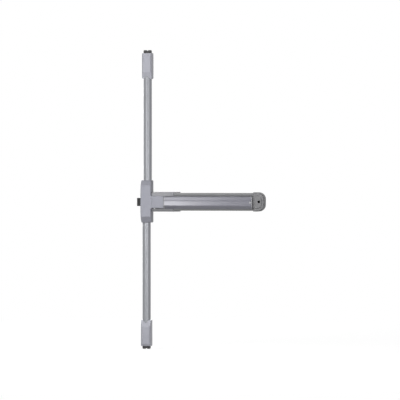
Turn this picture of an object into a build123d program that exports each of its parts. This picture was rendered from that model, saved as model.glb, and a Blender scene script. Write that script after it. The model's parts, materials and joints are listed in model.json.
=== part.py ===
from build123d import *
import math
import os

# Multipoint panic lock for the inside face of a door, in millimetres.
# X runs along the push bar from the latch edge, Z is up and the door face is the plane Y = 0.
# Every depth is measured from the door face towards the user, along -Y.
# The origin lies on the door face, behind the pinion in the middle of the centre case.

# Running clearances
fit = 0.05
slide = 0.15
seat = 0.3
sink = 0.1

# How far a cutting shape runs past the face that it cuts, and how near an edge is picked
margin = 1.0

# Centre case
case_width = 40.5
case_top = 81.2
case_bottom = -78.8
case_depth = 48.0
case_end_depth = 36.0
case_slope_top = 19.0
case_slope_bottom = 23.0
case_bow = 1.2
case_corner = 3.0
case_edge = 2.4
cover_wall = 2.2
plate_thickness = 3.0
tab_thickness = 2.0
tab_depth = 12.0
tab_height = 14.0
tab_z = 58.0
tab_screw_depth = 7.0
case_fix_x = 10.3
case_fix_low = 33.0
case_fix_pitch = 34.0
bar_passage = 1.5

# Neck of the case cover, which bridges to the push pad
neck_end = 69.9
neck_top = 21.1
neck_bottom = -24.5
neck_step_x = 26.0
neck_step = 2.0
neck_edge = 2.0

# Push bar rail and the sleeve round its first end
rail_start = 27.0
rail_length = 391.0
rail_half_height = 33.5
rail_depth = 35.0
rail_wall = 2.5
rail_chamfer = 6.0
rail_lip_top = 20.4
rail_lip_outer = 26.8
rail_lip_bottom = -27.2
rail_lip_fall = 3.5
sleeve_half_height = 37.3
sleeve_depth = 38.5
sleeve_chamfer = 7.5
sleeve_lip_outer = 29.0
sleeve_opening_top = 21.5
sleeve_lip_fall = 1.2
sleeve_opening_bottom = -27.5
sleeve_start = 20.5
sleeve_end_wall = 3.0
sleeve_back_end = 125.0
sleeve_front_end = 103.0
sleeve_screw_z = 29.0
sleeve_screw_depth = 15.0
sleeve_head_height = 2.6
sleeve_nut_radius = 4.0
sleeve_nut_height = 2.6
sleeve_screw_tail = 0.4

# Push pad
pad_neck_gap = 2.3
pad_cap_gap = 0.6
pad_depth = 62.0
pad_wall = 2.5
pad_top = 19.6
pad_bottom = -26.7
pad_crease = 4.0
pad_facet_step = 1.2
pad_facet_lean = 1.0
pad_crease_groove = 0.4
pad_crease_upper = 0.8
pad_crease_lower = 1.2
pad_top_radius = 3.0
pad_bend_radius = 6.0
pad_bend = -15.7
pad_lower_depth = 50.0
pad_flange = 3.2
pad_bottom_flange_depth = 29.4
pad_plug_thickness = 2.8
pad_plug_spigot = 4.5
pad_plug_back = 32.5
pad_spigot_wall = 2.0
pad_travel = 13.0
button_place = 7.4
button_z = -2.4
button_radius = 4.0
button_rise = 0.3
button_edge = 0.25

# End cap, its bracket and the dogging screw behind its key hole
cap_overlap = 6.4
cap_length = 41.8
cap_half_height = 36.0
cap_depth = 46.0
cap_plateau_rise = 4.0
cap_plateau_length = 32.9
cap_plateau_half = 23.8
cap_plateau_corner = 14.0
cap_corner = 25.0
cap_edge = 6.0
cap_panel_edge = 1.8
cap_wall = 2.2
cap_front_wall = 6.2
cap_joint_corner = 1.0
cap_panel_root = 8.0
cap_panel_wall = 4.2
cap_panel_corner = 3.0
cap_inner_corner = 0.5
cap_screw_place = 13.4
cap_screw_depth = 12.0
cap_tab_length = 11.0
cap_tab_rise = 5.0
bracket_gap = 1.0
bracket_length = 27.0
bracket_half = 28.0
bracket_corner = 12.0
bracket_tongue = 19.0
bracket_tongue_half = 15.0
bracket_fix_place = 5.5
bracket_fix_z = 21.0
bridge_depth = 28.0
bridge_thickness = 3.0
bridge_half = 12.0
bridge_reach = 10.0
dog_edge = 11.0
dog_body_radius = 4.0
dog_pilot_radius = 3.0
dog_head_radius = 5.0
dog_socket = 6.0
dog_socket_depth = 5.0
dog_sink = 3.5
key_hole_radius = 5.2
cam_depth = 9.5
cam_thickness = 6.0
cam_hub_radius = 6.0
cam_reach = 25.5
cam_finger = 3.0
cam_rise = 12.5
cam_arm_half = 2.5
notch_room = 3.0
notch_play = 0.5
notch_height = 4.2

# Vertical rods, their covers and the end cases
rod_offset = 2.2
rod_depth = 17.5
rod_radius = 5.0
rod_cover_radius = 15.5
rod_cover_wall = 1.5
rod_cover_entry = 4.0
rod_cover_end_entry = 12.0
rod_guide_length = 8.0
rod_guide_first = 35.0
rod_guide_last = 25.0
end_case_width = 37.0
end_case_depth = 38.0
end_case_rod_depth = 30.0
end_case_slope = 26.0
end_case_bevel = 7.2
end_case_bevel_depth = 3.0
end_case_side = 4.5
end_case_side_depth = 4.0
end_case_wall = 2.2
end_case_edge = 0.8
end_plate_thickness = 2.5
end_plate_gap = 3.0
end_plate_corner = 2.0
plate_tube_gap = 1.0
end_tab_height = 10.0
end_tab_depth = 8.5
end_screw_depth = 5.5
end_screw_length = 4.6
end_tab_place = 40.0
end_fix_first = 24.0
end_fix_pitch = 62.0
top_case_start = 465.7
top_case_length = 96.9
bottom_case_start = -448.9
bottom_case_length = 98.1
top_bolt_reach = 11.8
bottom_bolt_reach = 11.0
bolt_width = 29.0
bolt_thickness = 16.0
bolt_length = 62.0
bolt_bore = 14.0
bolt_nose = 2.0
bolt_groove = 7.0
bolt_groove_depth = 2.0
bolt_pin_radius = 2.0
bolt_pin_gap = 0.2
bolt_guide_length = 15.0
bolt_guide_inset = 17.0
bolt_guide_depth = 31.0

# Rack and pinion drive: the pull bar turns the pinion, and the pinion moves both rods
drive_travel = 18.0
gear_module = 1.25
gear_teeth = 16
pressure_angle = math.radians(20)
backlash = 0.16
flank_steps = 4
tooth_foot = 0.5
pinion_side = 0.2
pinion_shaft_radius = 3.0
pinion_shoulder = 4.5
clip_radius = 5.2
clip_thickness = 0.9
clip_groove = 0.6
clip_slot = 3.2
clip_end = 0.7
rack_back_depth = 4.5
rack_front_depth = 10.0
rack_thickness = 5.0
rack_margin = 7.5
carrier_side = 16.2
carrier_wide_start = 30.0
carrier_wide_side = 4.0
carrier_wide_slope = 4.0
carrier_lug_low = 64.0
carrier_lug_high = 72.5
carrier_lug_reach = 26.0
carrier_lug_left = -5.5
stud_x = 10.5
stud_low = 34.4
stud_pitch = 7.8
stud_radius = 2.0
stud_head_radius = 3.5
stud_head_height = 1.2
nut_flats = 16.0
nut_height = 5.0
spring_seat_low = 20.0
spring_seat_thickness = 2.5
spring_seat_outer = 8.0
spring_seat_inner = 3.0
spring_radius = 5.6
spring_wire = 0.8
spring_gap = 0.05
spring_turns = 6
spring_sides = 6

# Bell cranks that turn the push of the pad into the pull of the bar
swing = math.radians(44)
crank_near_x = 125.0
crank_far_end = 88.0
crank_bottom = -2.5
crank_thickness = 7.0
crank_hub_radius = 7.0
crank_arm_half = 4.6
crank_pin_radius = 2.5
crank_pin_end = 0.4
pivot_pin_radius = 3.0
pivot_head_radius = 4.4
pivot_head_height = 1.2
cheek_thickness = 2.6
cheek_gap = 0.4
cheek_front_margin = 6.0
bracket_web_x = 16.0
bracket_web_thickness = 3.0
bracket_foot_length = 24.0
bracket_foot_low = -18.0
bracket_screw_x = 31.0
bracket_screw_z = (-12.0, 0.5)
lug_half_width = 7.0
lug_rivet_low = -8.0
lug_rivet_high = -1.2
lug_rivet_radius = 2.0
lug_rivet_head = 3.2
lug_rivet_head_height = 1.4
lug_rivet_rise = 0.9
lug_web = 3.0
lug_facet_web = 4.0
lug_back = 5.0
lug_slot_room = 0.3
lug_foot = 3.8
lug_crease_gap = 4.0

# Pull bar and its guides
bar_low = 9.0
bar_high = 15.5
bar_deep_low = 6.0
bar_start = -20.0
bar_tail = 4.0
bar_rack_end = 5.0
bar_deep_start = 9.8
bar_deep_end = 37.0
bar_block_depth = 12.0
bar_block_half = 7.5
bar_guide_first = 64.0
bar_guide_last = 14.5
bar_guide_length = 7.0
bar_guide_wall = 2.2
bar_guide_roof = 1.4

# Side latch
latch_throw = 18.0
latch_top = 14.5
latch_bottom = -16.2
latch_back_depth = 18.0
latch_front_depth = 38.0
latch_tail = 18.0
latch_corner = 3.0
latch_bevel = 9.0
latch_face = 6.0
latch_bulge = 1.4
latch_guide_wall = 2.4
latch_guide_stop = 4.0
latch_pin_x = 14.0
latch_pin_z = 10.75
latch_pin_radius = 2.0
latch_pin_front = 26.0

# Screws
door_screw_radius = 2.75
small_screw_radius = 1.5
small_head_radius = 2.7
small_head_height = 1.3
small_screw_length = 7.0
small_screw_hole = 4.0
small_slot_width = 0.8
small_slot_depth = 0.6
frame_screw_radius = 2.5
frame_head_radius = 4.2
frame_head_height = 3.0
frame_socket = 4.0
frame_socket_floor = 1.0

# Values that follow from the sizes above
pitch_radius = gear_module * gear_teeth / 2
rack_pitch = math.pi * gear_module
dedendum = 1.25 * gear_module
rack_root = pitch_radius + dedendum
rack_tip = pitch_radius - gear_module
half_case = case_width / 2
plate_half = half_case - cover_wall - case_bow - seat
pad_arm = pad_travel / (2 * math.sin(swing / 2))
bar_arm = drive_travel / (2 * math.sin(swing / 2))
bar_mid_depth = rack_front_depth + rack_thickness / 2
pivot_depth = bar_mid_depth + bar_arm * (1 + math.cos(swing / 2)) / 2
crank_top = crank_bottom + crank_thickness
lower_cheek = crank_bottom - cheek_gap - cheek_thickness
upper_cheek = crank_top + cheek_gap
pad_pin_x = -pad_arm * math.cos(swing / 2)
pad_pin_depth = pivot_depth + pad_arm * math.sin(swing / 2)
bar_pin_x = -bar_arm * math.sin(swing / 2)
bar_pin_depth = pivot_depth - bar_arm * math.cos(swing / 2)
pinion_low = rack_back_depth - pinion_side
pinion_high = rack_front_depth + rack_thickness + pinion_side
cap_inner = cap_half_height - cap_wall
rail_end = rail_start + rail_length
cap_start = rail_end - cap_overlap
cap_end = cap_start + cap_length
cap_plateau_end = cap_start + cap_plateau_length
cap_plateau_depth = cap_depth + cap_plateau_rise
cap_screw_x = cap_start + cap_screw_place
bracket_start = rail_end + bracket_gap
bracket_end = bracket_start + bracket_length
bracket_fix_x = bracket_start + bracket_fix_place
dog_x = bracket_end - dog_edge
dog_head_depth = cap_plateau_depth - dog_sink
pad_start = neck_end + pad_neck_gap
pad_end = cap_start - pad_cap_gap
button_x = pad_end - button_place
notch_start = dog_x - cam_reach - drive_travel - notch_room
notch_end = dog_x - cam_reach - drive_travel + cam_finger + notch_play
bar_end = notch_end + bar_tail
crank_far_x = rail_end - crank_far_end
crank_places = {"near": crank_near_x, "far": crank_far_x}
bar_guide_middle = (crank_near_x + crank_far_x) / 2
bar_guide_places = (bar_guide_first, bar_guide_middle, notch_start - bar_guide_last)
top_case_end = top_case_start + top_case_length
bottom_case_end = bottom_case_start - bottom_case_length
top_bolt_tip = top_case_end + top_bolt_reach
bottom_bolt_tip = bottom_case_end - bottom_bolt_reach


def slab(x_pair, depth_pair, z_pair):
    """Rectangular block between two sides, two depths and two heights, given in any order."""
    low = (min(x_pair), -max(depth_pair), min(z_pair))
    high = (max(x_pair), -min(depth_pair), max(z_pair))
    middle = [(a + b) / 2 for a, b in zip(low, high)]
    size = [b - a for a, b in zip(low, high)]
    return Pos(*middle) * Box(*size)


def round_y(x, z, radius, depth_low, depth_high):
    """Cylinder square to the door."""
    return front_face(Pos(x, z) * Circle(radius), depth_low, depth_high)


def round_z(x, depth, radius, z_low, z_high):
    """Upright cylinder."""
    return Pos(x, -depth, (z_low + z_high) / 2) * Cylinder(radius, abs(z_high - z_low))


def round_x(depth, z, radius, x_low, x_high):
    """Cylinder along the push bar."""
    turned = Pos((x_low + x_high) / 2, -depth, z) * Rot(0, 90, 0)
    return turned * Cylinder(radius, abs(x_high - x_low))


def front_face(face, depth_low, depth_high):
    """Extrude an outline drawn in X and Z between two depths."""
    return extrude(Plane.XZ.offset(depth_low) * face, depth_high - depth_low)


def flat_face(face, z_low, z_high):
    """Extrude an outline drawn in X and Y between two heights."""
    return extrude(Plane.XY.offset(z_low) * face, z_high - z_low)


def section_face(points):
    """Closed face through points given as depth and height."""
    return make_face(Polyline(*[(-depth, z) for depth, z in points], close=True))


def along_x(face, x_low, x_high):
    """Extrude a depth and height section along the push bar."""
    return extrude(Plane.YZ.offset(x_low) * face, x_high - x_low)


def half_turn(solid):
    """The same piece on the other rod: a half turn about the door normal through the pinion."""
    return Rot(0, 180, 0) * solid


def group(solids):
    """Like pieces kept as separate solids in one node."""
    return Compound(children=list(solids))


def small_screw(length):
    """Slotted screw that points down, with the face of its head at the origin."""
    head = small_head_height - sink
    screw = Pos(0, 0, -head / 2) * Cylinder(small_head_radius, head)
    screw += Pos(0, 0, -length / 2) * Cylinder(small_screw_radius, length)
    return screw - Box(3 * small_head_radius, small_slot_width, 2 * small_slot_depth)


def small_screw_seat():
    """Hole and head recess that a cover has for a small screw, cut down from its face."""
    recess = small_head_height + margin
    hole = small_screw_hole + margin
    seat_cut = Pos(0, 0, margin - recess / 2) * Cylinder(small_head_radius + slide, recess)
    return seat_cut + Pos(0, 0, margin - hole / 2) * Cylinder(small_screw_radius + fit, hole)


def sideways(x, depth, z, side):
    """Place for what points down, turned to point inwards from a side wall."""
    return Pos(x, -depth, z) * Rot(0, 90 * side, 0)


# Centre case


def case_form(inset, back):
    """Envelope of the case: a front outline with a bowed latch side, and ends that slope back."""
    half = half_case - inset
    top = case_top - inset
    bottom = case_bottom + inset
    front = case_depth - inset
    end = case_end_depth - inset
    corner = -half + case_bow
    outline = make_face(
        [
            Line((corner, bottom), (half, bottom)),
            Line((half, bottom), (half, top)),
            Line((half, top), (corner, top)),
            ThreePointArc((corner, top), (-half, (top + bottom) / 2), (corner, bottom)),
        ]
    )
    outline = fillet(outline.vertices(), case_corner)
    side = section_face(
        [
            (back, bottom),
            (end, bottom),
            (front, bottom + case_slope_bottom),
            (front, top - case_slope_top),
            (end, top),
            (back, top),
        ]
    )
    return front_face(outline, back, front) & along_x(side, -case_width, case_width)


def neck_form(inset, back):
    """Hood that carries the case front over the rail up to the push pad, stepped forward."""
    front = case_depth - inset
    plan = make_face(
        Polyline(
            (0, -back),
            (neck_end - inset, -back),
            (neck_end - inset, -front - neck_step),
            (neck_step_x, -front - neck_step),
            (neck_step_x - neck_step, -front),
            (0, -front),
            close=True,
        )
    )
    return flat_face(plan, neck_bottom + inset, neck_top - inset)


def case_cover():
    """Cast cover with its neck, open to the door, with openings for the rods, latch and bar."""
    body = case_form(0, 0)
    rim = [
        edge
        for edge in body.edges()
        if edge.center().Y < -case_end_depth - margin and abs(edge.center().X) > half_case / 2
    ]
    body = fillet(rim, case_edge)
    hood_back = rail_depth + seat
    neck = neck_form(0, hood_back)
    neck = fillet(neck.edges().filter_by(Axis.X).group_by(Axis.Y)[0], neck_edge)
    shell = body + neck - case_form(cover_wall, -margin) - neck_form(cover_wall, hood_back - margin)
    inside = half_case - cover_wall
    shell -= slab(
        (inside - margin, half_case + margin),
        (rack_front_depth - bar_passage, rail_depth + margin),
        (neck_bottom + cover_wall, neck_top - cover_wall),
    )
    shell -= slab(
        (-half_case - margin, case_bow - inside),
        (rack_front_depth - seat, latch_front_depth + seat),
        (latch_bottom - seat, bar_high + seat),
    )
    mouth = rod_cover_radius + seat
    reach = rod_cover_entry + seat
    shell -= round_z(rod_offset, rod_depth, mouth, case_top - reach, case_top + margin)
    shell -= round_z(-rod_offset, rod_depth, mouth, case_bottom - margin, case_bottom + reach)
    for side in (-1, 1):
        shell -= sideways(side * half_case, tab_screw_depth, -side * tab_z, side) * small_screw_seat()
        shell -= round_x(
            sleeve_screw_depth,
            side * sleeve_screw_z,
            frame_screw_radius + fit,
            inside - margin,
            half_case + margin,
        )
    return shell


def case_base_plate():
    """Steel plate against the door: four fixing holes, two cover tabs and two spring seats."""
    plate_end_gap = rod_cover_entry + plate_tube_gap
    outline = RectangleRounded(2 * plate_half, case_top - case_bottom - 2 * plate_end_gap, case_corner)
    plate = front_face(Pos(0, (case_top + case_bottom) / 2) * outline, 0, plate_thickness)
    for side in (-1, 1):
        edge = side * plate_half
        inner = edge - side * tab_thickness
        z = -side * tab_z
        plate += slab((edge, inner), (0, tab_depth), (z - tab_height / 2, z + tab_height / 2))
        plate -= round_x(tab_screw_depth, z, small_screw_radius + fit, inner - side, edge + side)
        plate += slab(
            (-side * spring_seat_outer, side * spring_seat_inner),
            (0, carrier_lug_reach),
            (side * spring_seat_low, side * (spring_seat_low + spring_seat_thickness)),
        )
        for step in (0, 1):
            z = side * (stud_low + step * stud_pitch)
            plate -= round_y(side * stud_x, z, stud_radius, -margin, plate_thickness + margin)
        for step in (0, 1):
            z = -side * (case_fix_low + step * case_fix_pitch)
            plate -= round_y(side * case_fix_x, z, door_screw_radius, -margin, plate_thickness + margin)
    return plate - round_y(0, 0, pinion_shaft_radius, -margin, plate_thickness + margin)


def cover_screws():
    """Two small screws through the sides of the cover into the tabs of the plate."""
    return group(
        sideways(side * (half_case - sink), tab_screw_depth, -side * tab_z, side)
        * small_screw(small_screw_length)
        for side in (-1, 1)
    )


def sleeve_screws():
    """Two screws with nuts that hold the end wall of the sleeve to the cover."""
    screws = []
    for side in (-1, 1):
        z = side * sleeve_screw_z
        head_face = sleeve_start + sleeve_end_wall
        nut_face = half_case - cover_wall
        depth = sleeve_screw_depth
        tip = nut_face - sleeve_nut_height - sleeve_screw_tail
        screw = round_x(depth, z, frame_screw_radius, tip, head_face)
        screw += round_x(depth, z, frame_head_radius, head_face, head_face + sleeve_head_height)
        nut = Pos(-depth, z) * RegularPolygon(sleeve_nut_radius, 6)
        nut = along_x(nut, nut_face - sleeve_nut_height, nut_face)
        screws.append(screw + nut)
    return group(screws)


def pinion_shaft():
    """Shouldered stud riveted in the plate, with a groove for its clip."""
    groove = (pinion_high + sink, pinion_high + sink + clip_thickness + 2 * fit)
    shaft = round_y(0, 0, pinion_shaft_radius, 0, groove[1] + clip_end)
    shaft += round_y(0, 0, pinion_shoulder, plate_thickness, pinion_low - sink)
    waste = Circle(clip_radius) - Circle(pinion_shaft_radius - clip_groove)
    return shaft - front_face(waste, *groove)


def pinion_clip():
    """Open spring clip in the groove of the shaft."""
    ring = Circle(clip_radius) - Circle(pinion_shaft_radius - clip_groove + fit)
    ring -= Pos(0, clip_radius) * Rectangle(clip_slot, 2 * clip_radius)
    back = pinion_high + sink + fit
    return front_face(ring, back, back + clip_thickness)


def guide_studs():
    """Four shouldered studs on the plate that guide the two rod carriers by their slots."""
    studs = []
    for side in (-1, 1):
        for step in (0, 1):
            x = side * stud_x
            z = side * (stud_low + step * stud_pitch)
            back = rack_back_depth - slide
            front = rack_back_depth + rack_thickness + slide
            stud = round_y(x, z, stud_radius, sink, front)
            stud += round_y(x, z, stud_head_radius, plate_thickness, back)
            studs.append(stud + round_y(x, z, stud_head_radius, front, front + stud_head_height))
    return group(studs)


def latch_guide():
    """Bent steel guide under the front of the cover that carries the latch on four sides."""
    left = case_bow + seat - (half_case - cover_wall)
    right = half_case - cover_wall - latch_guide_stop
    front = case_depth - cover_wall - sink
    upper = latch_top + seat
    lower = latch_bottom - seat
    guide = slab((left, right), (latch_back_depth, front), (upper, upper + latch_guide_wall))
    guide += slab((left, right), (latch_back_depth, front), (lower - latch_guide_wall, lower))
    web = (latch_front_depth + seat, latch_front_depth + seat + latch_guide_wall)
    return guide + slab((left, right), web, (lower, upper))


# Rail, sleeve and end cap


def rail():
    """Extruded C channel with a bevel along both front corners and a lip that falls to the pad."""
    lip_depth = rail_depth - rail_lip_fall
    chamfer_start = rail_depth - rail_chamfer
    inner = rail_half_height - rail_wall
    corner = rail_wall * math.tan(math.pi / 8)
    outer = [
        (0, rail_half_height),
        (chamfer_start, rail_half_height),
        (rail_depth, rail_lip_outer),
        (lip_depth, rail_lip_top),
        (lip_depth - rail_wall, rail_lip_top),
        (rail_depth - rail_wall, rail_lip_outer - corner),
        (chamfer_start - corner, inner),
        (rail_wall, inner),
        (rail_wall, -inner),
        (chamfer_start - corner, -inner),
        (rail_depth - rail_wall - corner, rail_lip_bottom),
        (rail_depth, rail_lip_bottom),
        (chamfer_start, -rail_half_height),
        (0, -rail_half_height),
    ]
    channel = along_x(section_face(outer), rail_start, rail_end)
    for x in crank_places.values():
        for z in bracket_screw_z:
            channel -= round_y(x + bracket_screw_x, z, frame_screw_radius, -margin, rail_wall + margin)
    return channel


def rail_sleeve():
    """Cast collar over the first end of the rail, cut off at a slant, with an open end wall."""
    gap = seat
    clear = rail_half_height + gap
    bevel = sleeve_depth - sleeve_chamfer
    inner_bevel = rail_depth - rail_chamfer + gap
    lip_slope = rail_lip_fall / (rail_lip_outer - rail_lip_top)
    lip_drop = lip_slope * (rail_lip_outer - sleeve_opening_top)
    upper = [
        (0, sleeve_half_height),
        (bevel, sleeve_half_height),
        (sleeve_depth, sleeve_lip_outer),
        (sleeve_depth - sleeve_lip_fall, sleeve_opening_top),
        (rail_depth - lip_drop + gap, sleeve_opening_top),
        (rail_depth + gap, rail_lip_outer + gap),
        (inner_bevel, clear),
        (0, clear),
    ]
    lower = [
        (0, -sleeve_half_height),
        (bevel, -sleeve_half_height),
        (sleeve_depth, -sleeve_lip_outer),
        (sleeve_depth, sleeve_opening_bottom),
        (rail_depth + 2 * gap, sleeve_opening_bottom),
        (inner_bevel, -clear),
        (0, -clear),
    ]
    front_wall = [
        (0, sleeve_half_height),
        (bevel, sleeve_half_height),
        (sleeve_depth, sleeve_lip_outer),
        (sleeve_depth, -sleeve_lip_outer),
        (bevel, -sleeve_half_height),
        (0, -sleeve_half_height),
    ]
    wall_end = sleeve_start + sleeve_end_wall
    sleeve = along_x(section_face(upper), sleeve_start, sleeve_back_end)
    sleeve += along_x(section_face(lower), sleeve_start, sleeve_back_end)
    sleeve += along_x(section_face(front_wall), sleeve_start, wall_end)
    sleeve -= slab(
        (sleeve_start - margin, wall_end + margin),
        (rack_front_depth - bar_passage, sleeve_depth + margin),
        (neck_bottom - seat, sleeve_opening_top),
    )
    slant = make_face(
        Polyline(
            (sleeve_back_end, 0),
            (sleeve_front_end, -sleeve_depth),
            (sleeve_front_end, -sleeve_depth - margin),
            (sleeve_back_end + margin, -sleeve_depth - margin),
            (sleeve_back_end + margin, 0),
            close=True,
        )
    )
    sleeve -= flat_face(slant, -sleeve_half_height - margin, sleeve_half_height + margin)
    for z in (-sleeve_screw_z, sleeve_screw_z):
        hole = frame_screw_radius + fit
        sleeve -= round_x(sleeve_screw_depth, z, hole, sleeve_start - margin, wall_end + margin)
    return sleeve


def cap_outline(start, end, half, corner, small):
    """Front outline of the cap with its two outer corners well rounded."""
    face = Pos((start + end) / 2, 0) * Rectangle(end - start, 2 * half)
    face = fillet(face.vertices().sort_by(Axis.X)[-2:], corner)
    return fillet(face.vertices().sort_by(Axis.X)[:2], small)


def end_cap():
    """Moulded cap over the end of the rail, with a raised panel and the key hole in it."""
    body = cap_outline(cap_start, cap_end, cap_half_height, cap_corner, cap_joint_corner)
    body = front_face(body, 0, cap_depth)
    rim = body.faces().sort_by(Axis.Y)[0].edges()
    body = fillet([edge for edge in rim if edge.center().X > cap_start + margin], cap_edge)
    root = cap_depth - cap_panel_root
    corners = (cap_plateau_corner, cap_panel_corner)
    panel = cap_outline(cap_start, cap_plateau_end, cap_plateau_half, *corners)
    panel = front_face(panel, root, cap_plateau_depth)
    panel = chamfer(panel.faces().sort_by(Axis.Y)[0].edges(), cap_panel_edge)
    start = cap_start + cap_wall
    corners = (cap_corner - cap_wall, cap_inner_corner)
    lower = cap_outline(start, cap_end - cap_wall, cap_inner, *corners)
    lower = front_face(lower, -margin, cap_depth - cap_front_wall)
    corners = (cap_plateau_corner - cap_panel_wall, cap_inner_corner)
    deep = cap_outline(
        start, cap_plateau_end - cap_panel_wall, cap_plateau_half - cap_panel_wall, *corners
    )
    deep = front_face(deep, root, cap_plateau_depth - cap_wall)
    mouth = slab(
        (cap_start - margin, start + margin), (-margin, rail_depth + seat), (-cap_inner, cap_inner)
    )
    cap = body + panel - lower - deep - mouth
    cap -= round_y(dog_x, 0, key_hole_radius, root, cap_plateau_depth + margin)
    for side in (-1, 1):
        place = Pos(cap_screw_x, -cap_screw_depth, side * cap_half_height)
        cap -= place * Rot(90 - 90 * side, 0, 0) * small_screw_seat()
    return cap


def end_bracket():
    """Steel bracket under the cap: it ties the rail end to the door and carries the dogging screw."""
    length = bracket_end - bracket_start
    face = Pos((bracket_start + bracket_end) / 2, 0) * Rectangle(length, 2 * bracket_half)
    face = fillet(face.vertices().sort_by(Axis.X)[-2:], bracket_corner)
    plate = front_face(face, 0, plate_thickness)
    tongue_low = rail_wall + sink
    tongue = (tongue_low, tongue_low + plate_thickness)
    tongue_z = (-bracket_tongue_half, bracket_tongue_half)
    plate += slab((bracket_start - bracket_tongue, bracket_start + plate_thickness), tongue, tongue_z)
    web = (bracket_end - plate_thickness, bracket_end)
    plate += slab(web, (0, bridge_depth + bridge_thickness), (-bridge_half, bridge_half))
    bridge = (bridge_depth, bridge_depth + bridge_thickness)
    plate += slab((dog_x - bridge_reach, bracket_end), bridge, (-bridge_half, bridge_half))
    plate -= round_y(dog_x, 0, dog_pilot_radius + fit, -margin, plate_thickness + margin)
    plate -= round_y(dog_x, 0, dog_body_radius + fit, bridge[0] - margin, bridge[1] + margin)
    for side in (-1, 1):
        foot = side * (bracket_half - plate_thickness)
        tab = side * (cap_inner - seat)
        tab_back = tab - side * tab_thickness
        x_pair = (bracket_start, bracket_start + cap_tab_length)
        plate += slab(x_pair, (0, plate_thickness), (foot, tab))
        plate += slab(x_pair, (0, cap_screw_depth + cap_tab_rise), (tab_back, tab))
        low, high = sorted((tab_back - side, tab + side))
        plate -= round_z(cap_screw_x, cap_screw_depth, small_screw_radius + fit, low, high)
        z = side * bracket_fix_z
        plate -= round_y(bracket_fix_x, z, door_screw_radius, -margin, plate_thickness + margin)
    return plate


def end_cap_screws():
    """Two small screws through the top and bottom of the cap into the bracket."""
    return group(
        Pos(cap_screw_x, -cap_screw_depth, side * (cap_half_height - sink))
        * Rot(90 - 90 * side, 0, 0)
        * small_screw(small_screw_length)
        for side in (-1, 1)
    )


def dogging_screw():
    """Screw with a hexagon socket behind the key hole, which turns the dogging cam."""
    bridge_front = bridge_depth + bridge_thickness
    screw = round_y(dog_x, 0, dog_pilot_radius, seat, cam_depth)
    screw += round_y(dog_x, 0, dog_body_radius, cam_depth, dog_head_depth)
    screw += round_y(dog_x, 0, dog_head_radius, bridge_front + slide, dog_head_depth)
    socket = RegularPolygon(dog_socket / 2, 6, major_radius=False)
    floor = dog_head_depth - dog_socket_depth
    return screw - front_face(Pos(dog_x, 0) * socket, floor, dog_head_depth + margin)


def dog_cam():
    """Hooked cam on the dogging screw. Turned a quarter, its finger holds the pressed pull bar."""
    hub = Circle(cam_hub_radius)
    arm = Pos(-cam_reach / 2, 0) * Rectangle(cam_reach, 2 * cam_arm_half)
    finger_height = cam_rise + cam_arm_half
    finger = Pos(cam_finger / 2 - cam_reach, (cam_rise - cam_arm_half) / 2)
    finger = finger * Rectangle(cam_finger, finger_height)
    profile = Rot(0, 0, 90) * (hub + arm + finger)
    cam = front_face(Pos(dog_x, 0) * profile, cam_depth, cam_depth + cam_thickness)
    cam += round_y(dog_x, 0, cam_hub_radius, cam_depth, bridge_depth - slide)
    return cam - round_y(dog_x, 0, dog_body_radius, cam_depth - margin, bridge_depth + margin)


# Push pad


def pad_section():
    """Outer section of the pad: a flat upper facet, a crease, the main face and a lower facet."""
    upper_depth = pad_depth - pad_facet_step
    points = [
        (pad_plug_back, pad_top),
        (upper_depth - pad_facet_lean, pad_top),
        (upper_depth, pad_crease + pad_crease_upper),
        (upper_depth - pad_crease_groove, pad_crease),
        (pad_depth, pad_crease - pad_crease_lower),
        (pad_depth, pad_bend),
        (pad_lower_depth, pad_bottom),
        (pad_plug_back, pad_bottom),
    ]
    face = section_face(points)
    face = fillet(face.vertices().sort_by(Axis.Y)[-2:].sort_by(Axis.X)[:1], pad_top_radius)
    return fillet(face.vertices().sort_by_distance((-pad_depth, pad_bend))[0], pad_bend_radius)


def push_pad():
    """Extruded pad, open to the door, with a flange along each back edge behind the rail lips."""
    wall = pad_wall
    skin = pad_section()
    hollow = offset(skin, -wall)
    lip_back = rail_depth - rail_lip_fall - rail_wall
    side_top = (lip_back - seat, lip_back - seat - wall)
    side_bottom = (pad_bottom_flange_depth, pad_bottom_flange_depth - wall)
    x_pair = (pad_start + pad_plug_thickness, pad_end - pad_plug_thickness)
    pad = along_x(skin, *x_pair) - along_x(hollow, *x_pair)
    back_wall = (pad_plug_back - margin, pad_plug_back + wall + margin)
    pad -= slab(x_pair, back_wall, (pad_bottom + wall, pad_top - wall))
    pad += slab(x_pair, (side_top[1], pad_plug_back + margin), (pad_top - wall, pad_top))
    pad += slab(x_pair, side_top, (pad_top - wall, pad_top + pad_flange))
    pad += slab(x_pair, (side_bottom[1], pad_plug_back + margin), (pad_bottom, pad_bottom + wall))
    pad += slab(x_pair, side_bottom, (pad_bottom - wall, pad_bottom + wall))
    inside = pad_depth - wall
    pad -= round_y(button_x, button_z, button_radius + slide, inside - margin, pad_depth + margin)
    for x in crank_places.values():
        for z in (lug_rivet_low, lug_rivet_high):
            hole = lug_rivet_radius + fit
            pad -= round_y(x + pad_pin_x, z, hole, inside - margin, inside + margin)
    return pad


def pad_end_plug(start, side):
    """Moulded plug that closes one end of the pad, with a spigot inside it."""
    skin = pad_section()
    inner = offset(skin, -pad_wall - slide)
    end = start + side * pad_plug_thickness
    tip = end + side * pad_plug_spigot
    plug = along_x(skin, min(start, end), max(start, end))
    spigot = along_x(inner, min(end, tip), max(end, tip))
    core = offset(skin, -pad_wall - slide - pad_spigot_wall)
    return plug + spigot - along_x(core, min(end, tip), max(end, tip))


def pad_button():
    """Round plug that fills the fixing hole near the far end of the pad."""
    button = round_y(button_x, button_z, button_radius, pad_depth - pad_wall, pad_depth + button_rise)
    return chamfer(button.faces().sort_by(Axis.Y)[0].edges(), button_edge)


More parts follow.
